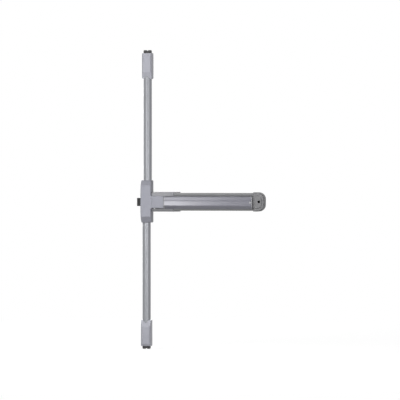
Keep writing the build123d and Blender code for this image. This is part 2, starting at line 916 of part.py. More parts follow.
def pad_lug(x):
    """Bracket inside the pad whose two slotted cheeks take the upper pin of a crank."""
    centre = x + pad_pin_x
    sides = (centre - lug_half_width, centre + lug_half_width)
    front = pad_depth - pad_wall
    back = pad_pin_depth - lug_back
    web_back = front - lug_web
    facet = front - pad_facet_step - pad_facet_lean - seat
    top = upper_cheek + cheek_thickness
    lug = slab(sides, (web_back, front), (lug_rivet_low - lug_foot, pad_crease - lug_crease_gap))
    lug += slab(sides, (front - lug_facet_web, facet), (lug_rivet_low - lug_foot, top))
    lug += slab(sides, (back, facet), (lower_cheek, lower_cheek + cheek_thickness))
    lug += slab(sides, (back, facet), (upper_cheek, top))
    drift = pad_arm * (1 - math.cos(swing / 2))
    width = 2 * (crank_pin_radius + slide)
    slot = SlotOverall(width + drift + lug_slot_room, width)
    slot = Pos(centre - drift / 2, -pad_pin_depth) * slot
    lug -= flat_face(slot, lower_cheek - margin, top + margin)
    for z in (lug_rivet_low, lug_rivet_high):
        lug -= round_y(centre, z, lug_rivet_radius + fit, back, front + margin)
        lug -= round_y(centre, z, lug_rivet_head + fit, back, web_back)
    return lug


def pad_lug_rivets():
    """Four blind rivets that hold the two lugs to the pad."""
    rivets = []
    for x in crank_places.values():
        for z in (lug_rivet_low, lug_rivet_high):
            front = pad_depth - pad_wall
            head = (front - lug_web - lug_rivet_head_height, front - lug_web)
            rivet = round_y(x + pad_pin_x, z, lug_rivet_radius, head[0], front + lug_rivet_rise)
            rivets.append(rivet + round_y(x + pad_pin_x, z, lug_rivet_head, *head))
    return group(rivets)


# Bell cranks


def crank(x):
    """Steel bell crank: one arm along the bar to the pad, the other towards the door."""
    pivot = Pos(x, -pivot_depth)
    reach = [(pad_pin_x, pivot_depth - pad_pin_depth), (bar_pin_x, pivot_depth - bar_pin_depth)]
    face = pivot * Circle(crank_hub_radius)
    for pin_x, pin_y in reach:
        length = math.hypot(pin_x, pin_y)
        turn = math.degrees(math.atan2(pin_y, pin_x))
        arm = Pos(length / 2, 0) * SlotCenterToCenter(length, 2 * crank_arm_half)
        face += pivot * Rot(0, 0, turn) * arm
    for pin_x, pin_y in reach:
        face -= pivot * Pos(pin_x, pin_y) * Circle(crank_pin_radius)
    face -= pivot * Circle(pivot_pin_radius + fit)
    return flat_face(face, crank_bottom, crank_top)


def crank_pins(x):
    """Two pins pressed in the crank: one into the pad lug and one up into the pull bar."""
    lower = lower_cheek - crank_pin_end
    upper = upper_cheek + cheek_thickness + crank_pin_end
    pad_pin = round_z(x + pad_pin_x, pad_pin_depth, crank_pin_radius, lower, upper)
    bar_pin = round_z(x + bar_pin_x, bar_pin_depth, crank_pin_radius, crank_bottom, bar_high - seat)
    return group([pad_pin, bar_pin])


def crank_bracket(x):
    """Steel bracket on the back wall of the rail, whose two cheeks hold the pivot pin."""
    foot_depth = (rail_wall, rail_wall + plate_thickness)
    web = (x + bracket_web_x, x + bracket_web_x + bracket_web_thickness)
    top = upper_cheek + cheek_thickness
    front = pivot_depth + cheek_front_margin
    cheeks = (x - cheek_front_margin, web[1])
    bracket = slab((web[0], web[0] + bracket_foot_length), foot_depth, (bracket_foot_low, top))
    bracket += slab(web, (rail_wall, front), (lower_cheek, top))
    for low in (lower_cheek, upper_cheek):
        cheek = slab(cheeks, (pivot_depth - cheek_front_margin, front), (low, low + cheek_thickness))
        bracket += cheek
    bracket -= round_z(x, pivot_depth, pivot_pin_radius + fit, lower_cheek - margin, top + margin)
    for z in bracket_screw_z:
        bracket -= round_y(x + bracket_screw_x, z, frame_screw_radius, 0, foot_depth[1] + margin)
    return bracket


def crank_pivot_pins():
    """Headed pivot pins through the cheeks of both brackets and the cranks."""
    pins = []
    for x in crank_places.values():
        top = upper_cheek + cheek_thickness
        pin = round_z(x, pivot_depth, pivot_pin_radius, lower_cheek - pivot_head_height, top)
        head = round_z(x, pivot_depth, pivot_head_radius, top, top + pivot_head_height)
        pins.append(pin + head)
    return group(pins)


def bracket_screws():
    """Four screws that fix the crank brackets to the rail."""
    screws = []
    for x in crank_places.values():
        for z in bracket_screw_z:
            face = rail_wall + plate_thickness
            screw = round_y(x + bracket_screw_x, z, frame_screw_radius, seat, face)
            screw += round_y(x + bracket_screw_x, z, frame_head_radius, face, face + frame_head_height)
            socket = RegularPolygon(frame_socket / 2, 6, major_radius=False)
            socket = Pos(x + bracket_screw_x, z) * socket
            floor = face + frame_socket_floor
            screws.append(screw - front_face(socket, floor, face + frame_head_height + margin))
    return group(screws)


# Drive


def tooth_face():
    """One pinion tooth on the X axis with involute flanks, from the root circle to the tip."""
    base = pitch_radius * math.cos(pressure_angle)
    tip = pitch_radius + gear_module
    root = pitch_radius - dedendum
    involute = math.tan(pressure_angle) - pressure_angle
    half_angle = (rack_pitch / 2 - backlash) / (2 * pitch_radius) + involute
    flank = []
    for step in range(flank_steps + 1):
        radius = base + (tip - base) * step / flank_steps
        roll = math.acos(base / radius)
        angle = half_angle - (math.tan(roll) - roll)
        flank.append((radius * math.cos(angle), radius * math.sin(angle)))
    sunk = root - tooth_foot
    foot = (sunk * math.cos(half_angle), sunk * math.sin(half_angle))
    upper = [foot] + flank
    lower = [(x, -y) for x, y in reversed(upper)]
    return make_face(Polyline(*upper, *lower, close=True))


def pinion():
    """Pinion of the drive, twice as long as a rack is thick, so that it meets all three racks."""
    face = Circle(pitch_radius - dedendum)
    for step in range(gear_teeth):
        face += Rot(0, 0, 360 * step / gear_teeth) * tooth_face()
    face -= Circle(pinion_shaft_radius + fit)
    return front_face(face, pinion_low, pinion_high)


def rack_teeth(low, high):
    """Straight rack teeth below the line at the root, with a tooth space at the origin."""
    half_pitch = (rack_pitch / 2 - backlash) / 2
    half_root = half_pitch + dedendum * math.tan(pressure_angle)
    half_tip = half_pitch - gear_module * math.tan(pressure_angle)
    first = math.ceil((low + half_root) / rack_pitch - 0.5)
    last = math.floor((high - half_root) / rack_pitch - 0.5)
    tooth = make_face(
        Polyline(
            (-half_root, rack_root + tooth_foot),
            (-half_root, rack_root),
            (-half_tip, rack_tip),
            (half_tip, rack_tip),
            (half_root, rack_root),
            (half_root, rack_root + tooth_foot),
            close=True,
        )
    )
    return [Pos((step + 0.5) * rack_pitch, 0) * tooth for step in range(first, last + 1)]


def pull_bar():
    """Flat steel bar: a rack over the pinion, the latch slot, two crank blocks and a dog notch."""
    outline = Polyline(
        (bar_start, rack_root),
        (bar_deep_start, rack_root),
        (bar_deep_start, bar_deep_low),
        (bar_deep_end, bar_deep_low),
        (bar_deep_end, bar_low),
        (notch_start, bar_low),
        (notch_start, bar_low + notch_height),
        (notch_end, bar_low + notch_height),
        (notch_end, bar_low),
        (bar_end, bar_low),
        (bar_end, bar_high),
        (bar_start, bar_high),
        close=True,
    )
    face = make_face(outline)
    for tooth in rack_teeth(bar_start, bar_rack_end):
        face += tooth
    slot_left = latch_pin_x - latch_pin_radius - slide / 2
    slot_right = latch_pin_x + latch_pin_radius + latch_throw - seat
    slot = SlotOverall(slot_right - slot_left, 2 * latch_pin_radius + slide)
    face -= Pos((slot_left + slot_right) / 2, latch_pin_z) * slot
    bar = front_face(face, rack_front_depth, rack_front_depth + rack_thickness)
    drift = bar_arm * (1 - math.cos(swing / 2))
    for x in crank_places.values():
        centre = x + bar_pin_x
        sides = (centre - bar_block_half, centre + bar_block_half)
        half_block = bar_block_depth / 2
        depths = (bar_mid_depth - half_block, bar_mid_depth + half_block)
        bar += slab(sides, depths, (bar_low, bar_high))
        width = 2 * (crank_pin_radius + slide)
        slot = SlotOverall(width + drift, width)
        slot = Pos(centre, -bar_mid_depth) * Rot(0, 0, 90) * slot
        bar -= flat_face(slot, bar_low - margin, bar_high + margin)
    return bar


def bar_guides():
    """Three moulded guides on the back wall of the rail that hold the pull bar up and in line."""
    guides = []
    for x in bar_guide_places:
        sides = (x, x + bar_guide_length)
        low = bar_low - slide - bar_guide_wall
        high = bar_high + slide + bar_guide_roof
        front = rack_front_depth + rack_thickness + slide
        block = slab(sides, (rail_wall, front + bar_guide_wall), (low, high))
        window_x = (x - margin, x + bar_guide_length + margin)
        window_z = (bar_low - slide, bar_high + slide)
        guides.append(block - slab(window_x, (rack_front_depth - slide, front), window_z))
    return group(guides)


def carrier():
    """Carrier of the upper rod: rack, slotted plate on the guide studs and a lug for the rod."""
    wide = carrier_wide_start
    outline = Polyline(
        (rack_root, -rack_margin),
        (carrier_side, -rack_margin),
        (carrier_side, carrier_lug_high),
        (carrier_wide_side, carrier_lug_high),
        (carrier_wide_side, wide),
        (rack_root, wide - carrier_wide_slope),
        close=True,
    )
    face = make_face(outline)
    for tooth in rack_teeth(-rack_margin, drive_travel + rack_margin):
        face += Rot(0, 0, 90) * mirror(tooth, about=Plane.XZ)
    slot_low = stud_low - stud_radius - slide
    slot_high = stud_low + stud_pitch + drive_travel + stud_radius + slide
    slot = SlotOverall(slot_high - slot_low, 2 * (stud_radius + slide))
    face -= Pos(stud_x, (slot_low + slot_high) / 2) * Rot(0, 0, 90) * slot
    plate = front_face(face, rack_back_depth, rack_back_depth + rack_thickness)
    lug = slab(
        (carrier_lug_left, carrier_side),
        (rack_back_depth, carrier_lug_reach),
        (carrier_lug_low, carrier_lug_high),
    )
    hole = round_z(
        rod_offset, rod_depth, rod_radius, carrier_lug_low - margin, carrier_lug_high + margin
    )
    return plate + lug - hole


def coil_point(quarter, rise):
    """Point and direction of the coil after some quarter turns."""
    angle = quarter * math.pi / 2
    place = Vector(spring_radius * math.cos(angle), spring_radius * math.sin(angle), quarter * rise)
    across = spring_radius * math.pi / 2
    return place, Vector(-across * math.sin(angle), across * math.cos(angle), rise).normalized()


def coil_path(rise):
    """Coil as pairs of tangent arcs, one pair for each quarter turn."""
    arcs = []
    for quarter in range(4 * spring_turns):
        start, leave = coil_point(quarter, rise)
        end, arrive = coil_point(quarter + 1, rise)
        chord = end - start
        along = chord.dot(leave + arrive)
        spread = 2 * (1 - leave.dot(arrive))
        reach = (math.sqrt(along**2 + spread * chord.dot(chord)) - along) / spread
        joint = (start + end + (leave - arrive) * reach) * 0.5
        turn = (chord - (leave + arrive) * reach).normalized()
        arcs += [TangentArc(start, joint, tangent=leave), TangentArc(joint, end, tangent=turn)]
    return Wire(arcs)


def return_spring():
    """Compression spring between the seat on the plate and the lug of the upper carrier."""
    low = spring_seat_low + spring_seat_thickness + spring_wire + spring_gap
    high = carrier_lug_low - spring_wire - spring_gap
    path = coil_path((high - low) / (4 * spring_turns))
    start = Plane(origin=path @ 0, z_dir=path % 0)
    wire = sweep(start * RegularPolygon(spring_wire, spring_sides), path=path)
    return Pos(rod_offset, -rod_depth, low) * wire


def rod(end):
    """Plain steel rod from its carrier to the bore of its bolt."""
    return round_z(rod_offset, rod_depth, rod_radius, carrier_lug_low, end)


def rod_nut():
    """Lock nut on the rod above the lug of the carrier."""
    nut = RegularPolygon(nut_flats / 2, 6, major_radius=False) - Circle(rod_radius)
    return flat_face(Pos(rod_offset, -rod_depth) * nut, carrier_lug_high, carrier_lug_high + nut_height)


def bolt(tip):
    """Square bolt with a grooved nose, bored from below for the rod and its pin."""
    half = bolt_width / 2
    block = slab(
        (rod_offset - half, rod_offset + half),
        (rod_depth - bolt_thickness / 2, rod_depth + bolt_thickness / 2),
        (tip - bolt_length, tip),
    )
    block = chamfer(block.faces().sort_by(Axis.Z)[-1].edges(), bolt_nose)
    groove = bolt_groove / 2
    groove_z = (tip - bolt_groove_depth, tip + margin)
    block -= slab((rod_offset - groove, rod_offset + groove), (0, 2 * rod_depth), groove_z)
    low = tip - bolt_length
    block -= round_z(rod_offset, rod_depth, rod_radius, low - margin, low + bolt_bore)
    return block - round_x(rod_depth, low + bolt_bore / 2, bolt_pin_radius, -bolt_width, bolt_width)


def bolt_pin(tip):
    """Cross pin through the bolt and the rod."""
    z = tip - bolt_length + bolt_bore / 2
    half = bolt_width / 2 - bolt_pin_gap
    return round_x(rod_depth, z, bolt_pin_radius, rod_offset - half, rod_offset + half)


def pierced_rod(tip):
    """Rod up to the top of the bolt's bore, drilled for the cross pin."""
    low = tip - bolt_length
    pin = round_x(rod_depth, low + bolt_bore / 2, bolt_pin_radius, -bolt_width, bolt_width)
    return rod(low + bolt_bore) - pin


def rod_cover(case_edge_z, end_case_start):
    """Round tube over the rod from the centre case into the end case."""
    low = case_edge_z - rod_cover_entry
    high = end_case_start + rod_cover_end_entry
    tube = round_z(rod_offset, rod_depth, rod_cover_radius, low, high)
    bore = rod_cover_radius - rod_cover_wall
    return tube - round_z(rod_offset, rod_depth, bore, low - margin, high + margin)


def rod_guides(case_edge_z, end_case_start):
    """Two moulded rings in the cover that keep the rod in its middle."""
    rings = []
    for middle in (case_edge_z + rod_guide_first, end_case_start - rod_guide_last):
        low = middle - rod_guide_length / 2
        high = middle + rod_guide_length / 2
        outer = rod_cover_radius - rod_cover_wall
        ring = round_z(rod_offset, rod_depth, outer, low, high)
        bore = round_z(rod_offset, rod_depth, rod_radius + fit, low - margin, high + margin)
        rings.append(ring - bore)
    return group(rings)


# End cases


def end_case_form(start, end, inset, back):
    """Envelope of an end case: bevelled sides, a slope to the rod and a bevel at its bolt end."""
    front = end_case_depth - inset
    low = start + inset
    high = end - inset
    side = section_face(
        [
            (back, low),
            (end_case_rod_depth - inset, low),
            (front, start + end_case_slope),
            (front, end - end_case_bevel),
            (front - end_case_bevel_depth, high),
            (back, high),
        ]
    )
    half = end_case_width / 2 - inset
    shoulder = half - end_case_side
    plan = make_face(
        Polyline(
            (-half, -back),
            (-half, end_case_side_depth - front),
            (-shoulder, -front),
            (shoulder, -front),
            (half, end_case_side_depth - front),
            (half, -back),
            close=True,
        )
    )
    block = along_x(side, rod_offset - half, rod_offset + half)
    return block & flat_face(Pos(rod_offset, 0) * plan, low, high)


def end_case_cover(start, end):
    """Cast cover of an end case with a rod mouth, a bolt window and two screw holes."""
    body = end_case_form(start, end, 0, 0)
    half = end_case_width / 2
    long_edges = body.edges().filter_by(Axis.Z)
    rim = [edge for edge in long_edges if edge.center().Y < -end_case_rod_depth]
    body = fillet(rim, end_case_edge)
    shell = body - end_case_form(start, end, end_case_wall, -margin)
    mouth_end = start + rod_cover_end_entry
    shell -= round_z(rod_offset, rod_depth, rod_cover_radius + seat, start - margin, mouth_end)
    half_bolt = bolt_width / 2 + seat
    half_thick = bolt_thickness / 2 + seat
    shell -= slab(
        (rod_offset - half_bolt, rod_offset + half_bolt),
        (rod_depth - half_thick, rod_depth + half_thick),
        (end - end_case_wall - margin, end + margin),
    )
    z = start + end_tab_place
    for side in (-1, 1):
        shell -= sideways(rod_offset + side * half, end_screw_depth, z, side) * small_screw_seat()
    return shell


def end_case_base(start, end):
    """Steel plate of an end case with two door holes and a bent tab at each side."""
    half = end_case_width / 2 - end_case_wall - seat
    low = start + rod_cover_end_entry + plate_tube_gap
    high = end - end_plate_gap
    plate = slab((rod_offset - half, rod_offset + half), (0, end_plate_thickness), (low, high))
    plate = fillet(plate.edges().filter_by(Axis.Y), end_plate_corner)
    z = start + end_tab_place
    for side in (-1, 1):
        edge = rod_offset + side * half
        inner = edge - side * tab_thickness
        tab_pair = (z - end_tab_height / 2, z + end_tab_height / 2)
        plate += slab((edge, inner), (0, end_tab_depth), tab_pair)
        plate -= round_x(end_screw_depth, z, small_screw_radius + fit, inner - side, edge + side)
    for place in (end_fix_first, end_fix_first + end_fix_pitch):
        z = start + place
        plate -= round_y(rod_offset, z, door_screw_radius, -margin, end_plate_thickness + margin)
    return plate


def end_case_screws(start):
    """Two small screws through the sides of the cover into the tabs of the plate."""
    face = end_case_width / 2 - sink
    z = start + end_tab_place
    return group(
        sideways(rod_offset + side * face, end_screw_depth, z, side) * small_screw(end_screw_length)
        for side in (-1, 1)
    )


def bolt_guide(end):
    """Moulded frame on the plate that the bolt slides through."""
    half = end_case_width / 2 - end_case_wall - seat
    high = end - bolt_guide_inset
    low = high - bolt_guide_length
    frame = slab(
        (rod_offset - half, rod_offset + half),
        (end_plate_thickness, bolt_guide_depth),
        (low, high),
    )
    half_bolt = bolt_width / 2 + slide
    half_thick = bolt_thickness / 2 + slide
    return frame - slab(
        (rod_offset - half_bolt, rod_offset + half_bolt),
        (rod_depth - half_thick, rod_depth + half_thick),
        (low - margin, high + margin),
    )


def side_latch():
    """Black latch with a rounded nose, bevelled on the side that meets the strike."""
    tip = -half_case - latch_throw
    face = -latch_back_depth - latch_face
    plan = make_face(
        [
            Line((latch_tail, -latch_back_depth), (tip, -latch_back_depth)),
            Line((tip, -latch_back_depth), (tip, face)),
            SagittaArc((tip, face), (tip + latch_bevel, -latch_front_depth), -latch_bulge),
            Line((tip + latch_bevel, -latch_front_depth), (latch_tail, -latch_front_depth)),
            Line((latch_tail, -latch_front_depth), (latch_tail, -latch_back_depth)),
        ]
    )
    latch = flat_face(plan, latch_bottom, latch_top)
    nose = Pos((tip + latch_tail) / 2, (latch_top + latch_bottom) / 2)
    nose = nose * Rectangle(latch_tail - tip, latch_top - latch_bottom)
    nose = fillet(nose.vertices().sort_by(Axis.X)[:2], latch_corner)
    latch &= front_face(nose, latch_back_depth - margin, latch_front_depth + margin)
    depths = (latch_back_depth - margin, latch_pin_front)
    return latch - round_y(latch_pin_x, latch_pin_z, latch_pin_radius, *depths)


def latch_pin():
    """Pin in the latch that rides in the slot of the pull bar."""
    depths = (rack_front_depth + slide, latch_pin_front)
    return round_y(latch_pin_x, latch_pin_z, latch_pin_radius, *depths)


def parts():
    """Every node of the lock with its solid."""
    upper = {
        "rod_carrier": carrier(),
        "return_spring": return_spring(),
        "rod_nut": rod_nut(),
    }
    nodes = {
        "case_base_plate": case_base_plate(),
        "case_cover": case_cover(),
        "cover_screws": cover_screws(),
        "sleeve_screws": sleeve_screws(),
        "pinion_shaft": pinion_shaft(),
        "pinion_clip": pinion_clip(),
        "guide_studs": guide_studs(),
        "latch_guide": latch_guide(),
        "rail": rail(),
        "rail_sleeve": rail_sleeve(),
        "end_cap": end_cap(),
        "end_bracket": end_bracket(),
        "end_cap_screws": end_cap_screws(),
        "dogging_screw": dogging_screw(),
        "dog_cam": dog_cam(),
        "push_pad": push_pad(),
        "pad_end_plug_near": pad_end_plug(pad_start, 1),
        "pad_end_plug_far": pad_end_plug(pad_end, -1),
        "pad_button": pad_button(),
        "pad_lug_rivets": pad_lug_rivets(),
        "crank_pivot_pins": crank_pivot_pins(),
        "bracket_screws": bracket_screws(),
        "pinion": pinion(),
        "pull_bar": pull_bar(),
        "bar_guides": bar_guides(),
        "side_latch": side_latch(),
        "latch_pin": latch_pin(),
    }
    for name, x in crank_places.items():
        nodes[f"crank_{name}"] = crank(x)
        nodes[f"crank_pins_{name}"] = crank_pins(x)
        nodes[f"crank_bracket_{name}"] = crank_bracket(x)
        nodes[f"pad_lug_{name}"] = pad_lug(x)
    for name, solid in upper.items():
        nodes[f"upper_{name}"] = solid
        nodes[f"lower_{name}"] = half_turn(solid)
    ends = {
        "upper": ("top", case_top, top_case_start, top_case_end, top_bolt_tip),
        "lower": ("bottom", -case_bottom, -bottom_case_start, -bottom_case_end, -bottom_bolt_tip),
    }
    for side, (place, case_end, start, end, tip) in ends.items():
        pieces = {
            f"{side}_rod": pierced_rod(tip),
            f"{side}_rod_cover": rod_cover(case_end, start),
            f"{side}_rod_guides": rod_guides(case_end, start),
            f"{place}_case_cover": end_case_cover(start, end),
            f"{place}_case_base": end_case_base(start, end),
            f"{place}_case_screws": end_case_screws(start),
            f"{place}_bolt_guide": bolt_guide(end),
            f"{place}_bolt": bolt(tip),
            f"{place}_bolt_pin": bolt_pin(tip),
        }
        for name, solid in pieces.items():
            nodes[name] = solid if side == "upper" else half_turn(solid)
    return nodes


os.makedirs("parts", exist_ok=True)
for name, solid in parts().items():
    export_step(solid, f"parts/{name}.step")
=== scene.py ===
import bmesh
import bpy
import json
import math
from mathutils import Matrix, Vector


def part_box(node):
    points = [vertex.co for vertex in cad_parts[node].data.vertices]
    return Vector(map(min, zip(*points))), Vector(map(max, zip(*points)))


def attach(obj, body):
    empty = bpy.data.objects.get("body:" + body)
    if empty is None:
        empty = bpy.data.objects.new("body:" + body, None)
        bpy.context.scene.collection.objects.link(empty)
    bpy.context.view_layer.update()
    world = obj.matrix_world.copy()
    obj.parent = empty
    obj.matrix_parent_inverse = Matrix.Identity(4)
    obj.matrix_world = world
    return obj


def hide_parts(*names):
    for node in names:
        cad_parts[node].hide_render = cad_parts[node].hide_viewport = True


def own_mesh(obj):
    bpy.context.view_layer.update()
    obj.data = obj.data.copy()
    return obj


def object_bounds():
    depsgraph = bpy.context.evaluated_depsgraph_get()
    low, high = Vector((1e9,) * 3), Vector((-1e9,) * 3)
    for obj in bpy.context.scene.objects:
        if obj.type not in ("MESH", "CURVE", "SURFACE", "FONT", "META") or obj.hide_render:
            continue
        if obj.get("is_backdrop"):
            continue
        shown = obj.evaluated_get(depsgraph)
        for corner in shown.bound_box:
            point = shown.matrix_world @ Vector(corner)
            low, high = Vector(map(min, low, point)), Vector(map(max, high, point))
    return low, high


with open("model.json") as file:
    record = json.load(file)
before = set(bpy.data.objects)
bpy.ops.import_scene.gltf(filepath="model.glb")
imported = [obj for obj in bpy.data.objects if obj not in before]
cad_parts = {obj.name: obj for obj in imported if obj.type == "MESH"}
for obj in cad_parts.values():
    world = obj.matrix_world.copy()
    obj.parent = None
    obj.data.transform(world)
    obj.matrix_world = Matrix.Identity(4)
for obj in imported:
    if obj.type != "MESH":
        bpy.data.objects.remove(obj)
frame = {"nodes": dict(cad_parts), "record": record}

cad_low, cad_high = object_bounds()
node = frame["nodes"]


# Door plates of the centre case, the two end cases and the rail end.
# They are pressed from 2.5 to 3 mm steel strip and zinc plated, with pierced holes and bent tabs.
# They are screwed flat to the door first, and every cover is held by their tabs.

plate_colour = (0.47, 0.48, 0.49)
plate_metal = 0.9
plate_cloud = 0.011
plate_cloud_tone = (0.9, 1.1)
plate_roughness = (0.3, 0.42)
roll_mark = 0.0006
roll_stretch = (1, 1, 0.1)
roll_tone = (0.97, 1.03)
plate_relief = 0.00001
plate_edge = 0.0003
noise_span = (0.3, 0.7)
relief_strength = 0.5
edge_samples = 4


def bare_finish(name, metallic):
    """New finish with its node tree and its shader."""
    made = bpy.data.materials.new(name)
    made.use_nodes = True
    tree = made.node_tree
    shader = tree.nodes["Principled BSDF"]
    shader.inputs["Metallic"].default_value = metallic
    return made, tree, shader


def join(tree, source, target):
    """Link one socket to another."""
    tree.links.new(source, target)


def cloud(tree, grain, stretch=(1, 1, 1), detail=3):
    """Noise over the piece, with its grain in metres and an optional pull along one axis."""
    place = tree.nodes.new("ShaderNodeTexCoord")
    pull = tree.nodes.new("ShaderNodeMapping")
    pull.inputs["Scale"].default_value = stretch
    noise = tree.nodes.new("ShaderNodeTexNoise")
    noise.inputs["Scale"].default_value = 1 / grain
    noise.inputs["Detail"].default_value = detail
    join(tree, place.outputs["Object"], pull.inputs["Vector"])
    join(tree, pull.outputs["Vector"], noise.inputs["Vector"])
    return noise.outputs["Fac"]


def spread(tree, value, low, high, span=noise_span):
    """Carry a value over from its span to the range from low to high."""
    ramp = tree.nodes.new("ShaderNodeMapRange")
    ramp.inputs["From Min"].default_value = span[0]
    ramp.inputs["From Max"].default_value = span[1]
    ramp.inputs["To Min"].default_value = low
    ramp.inputs["To Max"].default_value = high
    join(tree, value, ramp.inputs["Value"])
    return ramp.outputs["Result"]


def times(tree, first, second):
    """Product of two values."""
    product = tree.nodes.new("ShaderNodeMath")
    product.operation = "MULTIPLY"
    join(tree, first, product.inputs[0])
    join(tree, second, product.inputs[1])
    return product.outputs[0]


def tinted(tree, colour, share):
    """A colour, lighter or darker by a share that varies over the surface."""
    scaled = tree.nodes.new("ShaderNodeVectorMath")
    scaled.operation = "SCALE"
    scaled.inputs[0].default_value = colour
    join(tree, share, scaled.inputs["Scale"])
    return scaled.outputs["Vector"]


def relief(tree, shader, height, depth, rounding):
    """Surface relief of a depth in metres. It gives back the normal, rounded at the edges."""
    soft = tree.nodes.new("ShaderNodeBevel")
    soft.samples = edge_samples
    soft.inputs["Radius"].default_value = rounding
    bump = tree.nodes.new("ShaderNodeBump")
    bump.inputs["Strength"].default_value = relief_strength
    bump.inputs["Distance"].default_value = depth
    join(tree, height, bump.inputs["Height"])
    join(tree, soft.outputs["Normal"], bump.inputs["Normal"])
    join(tree, bump.outputs["Normal"], shader.inputs["Normal"])
    return soft.outputs["Normal"]


def dress(finish, *names):
    """Give CAD nodes their finish."""
    for name in names:
        mesh = node[name].data
        mesh.materials.clear()
        mesh.materials.append(finish)


def zinc_plating():
    """Bluish zinc with the soft clouds and fine roll marks of plated strip."""
    made, tree, shader = bare_finish("zinc_plating", plate_metal)
    clouds = cloud(tree, plate_cloud)
    marks = cloud(tree, roll_mark, roll_stretch)
    tone = times(tree, spread(tree, clouds, *plate_cloud_tone), spread(tree, marks, *roll_tone))
    join(tree, tinted(tree, plate_colour, tone), shader.inputs["Base Color"])
    join(tree, spread(tree, clouds, *plate_roughness), shader.inputs["Roughness"])
    relief(tree, shader, marks, plate_relief, plate_edge)
    return made


dress(zinc_plating(), "case_base_plate", "top_case_base", "bottom_case_base", "end_bracket")


# Pinion on its shouldered stud, with the guide studs of the rod carriers.
# Cut and turned from gear steel, left bright and oiled.
# The studs are riveted into the case plate, and a black spring clip keeps the pinion on.

gear_colour = (0.42, 0.42, 0.43)
steel_metal = 0.95
turning_mark = 0.0004
turning_tone = (0.94, 1.06)
turning_relief = 0.000006
turned_edge = 0.0002
turned_marks = (1, 0.06, 1)
oil_patch = 0.008
oil_tone = (0.94, 1.05)
oil_gloss = 0.04
oil_dullness = 0.06
oxide_colour = (0.045, 0.045, 0.048)
oxide_stain = 0.003
oxide_tone = (0.8, 1.25)
oxide_roughness = (0.34, 0.46)


def bright_steel(name, colour, roughness, stretch):
    """Machined steel with fine tool marks that run along one axis."""
    made, tree, shader = bare_finish(name, steel_metal)
    marks = cloud(tree, turning_mark, stretch)
    oil = cloud(tree, oil_patch)
    tone = times(tree, spread(tree, marks, *turning_tone), spread(tree, oil, *oil_tone))
    join(tree, tinted(tree, colour, tone), shader.inputs["Base Color"])
    dull = spread(tree, oil, roughness - oil_gloss, roughness + oil_dullness)
    join(tree, dull, shader.inputs["Roughness"])
    relief(tree, shader, marks, turning_relief, turned_edge)
    return made


gear_steel = bright_steel("gear_steel", gear_colour, roughness=0.28, stretch=turned_marks)
dress(gear_steel, "pinion", "pinion_shaft", "guide_studs")


def black_oxide(name, colour, metallic, shine):
    """Oiled black oxide on hardened steel, with soft stains."""
    made, tree, shader = bare_finish(name, metallic)
    shader.inputs["Specular IOR Level"].default_value = shine
    stain = cloud(tree, oxide_stain)
    join(tree, tinted(tree, colour, spread(tree, stain, *oxide_tone)), shader.inputs["Base Color"])
    join(tree, spread(tree, stain, *oxide_roughness), shader.inputs["Roughness"])
    relief(tree, shader, stain, turning_relief, turned_edge)
    return made


oxide = black_oxide("black_oxide", oxide_colour, metallic=0.75, shine=0.5)
dress(oxide, "pinion_clip")


# Rod carriers.
# Each is a milled steel rack with a slotted plate and an upright lug for its rod.
# The slots run on the guide studs, one carrier at each side of the pinion.

carrier_colour = (0.38, 0.385, 0.395)
milled_marks = (1, 1, 0.06)
carrier_steel = bright_steel("carrier_steel", carrier_colour, roughness=0.34, stretch=milled_marks)
dress(carrier_steel, "upper_rod_carrier", "lower_rod_carrier")


# Return springs of the rods.
# Coiled cold from 1.6 mm spring wire, oiled black, with a closed turn at each end.
# Each stands between a tab of the case plate and a carrier's lug, and shortens as its rod slides.

wire_radius = 0.0008
coil_radius = 0.0056
coil_turns = 7
closed_turns = 1
closed_pitch = 0.00163
steps_in_turn = 36
wire_sides = 12


def coil_height(turn, height):
    """Height of the wire above its first point: flat end turns and an even pitch between them."""
    open_turns = coil_turns - 2 * closed_turns
    open_pitch = (height - 2 * closed_turns * closed_pitch) / open_turns
    in_first = min(turn, closed_turns)
    in_last = max(turn - coil_turns + closed_turns, 0)
    return (in_first + in_last) * closed_pitch + (turn - in_first - in_last) * open_pitch


def coiled_wire(name, low, high):
    """Round wire, coiled between two heights about the middle of a box, with its ends cut flat."""
    middle = (low + high) / 2
    height = high.z - low.z - 2 * wire_radius
    points = []
    faces = []
    steps = coil_turns * steps_in_turn
    for step in range(steps + 1):
        turn = step / steps_in_turn
        outward = Vector((math.cos(math.tau * turn), math.sin(math.tau * turn), 0))
        centre = Vector((middle.x, middle.y, low.z + wire_radius + coil_height(turn, height)))
        for side in range(wire_sides):
            angle = math.tau * side / wire_sides
            reach = coil_radius + wire_radius * math.cos(angle)
            points.append(centre + outward * reach + Vector((0, 0, wire_radius * math.sin(angle))))
    for step in range(steps):
        for side in range(wire_sides):
            here = step * wire_sides + side
            beside = step * wire_sides + (side + 1) % wire_sides
            faces.append((here, beside, beside + wire_sides, here + wire_sides))
    faces.append(list(range(wire_sides)))
    faces.append(list(range(steps * wire_sides, (steps + 1) * wire_sides)))
    mesh = bpy.data.meshes.new(name)
    mesh.from_pydata(points, [], faces)
    mesh.shade_smooth()
    shape = bmesh.new()
    shape.from_mesh(mesh)
    bmesh.ops.recalc_face_normals(shape, faces=shape.faces)
    shape.to_mesh(mesh)
    shape.free()
    coil = bpy.data.objects.new(name, mesh)
    bpy.context.scene.collection.objects.link(coil)
    return coil


for slide in frame["record"]["behaviour"]["joints"]:
    for spring in slide.get("deforming_nodes", ()):
        low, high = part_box(spring["node"])
        coil = coiled_wire(spring["node"] + "_wire", low, high)
        coil.data.materials.append(oxide)
        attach(coil, "frame")
        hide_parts(spring["node"])
        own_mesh(coil)


# Rods with their lock nuts, and the cross pins that join them to the bolts.
# Drawn 10 mm steel bar, bright, with fine lines along its length.
# Each rod is set in its carrier and held by the nut, so its length can be set on the door.

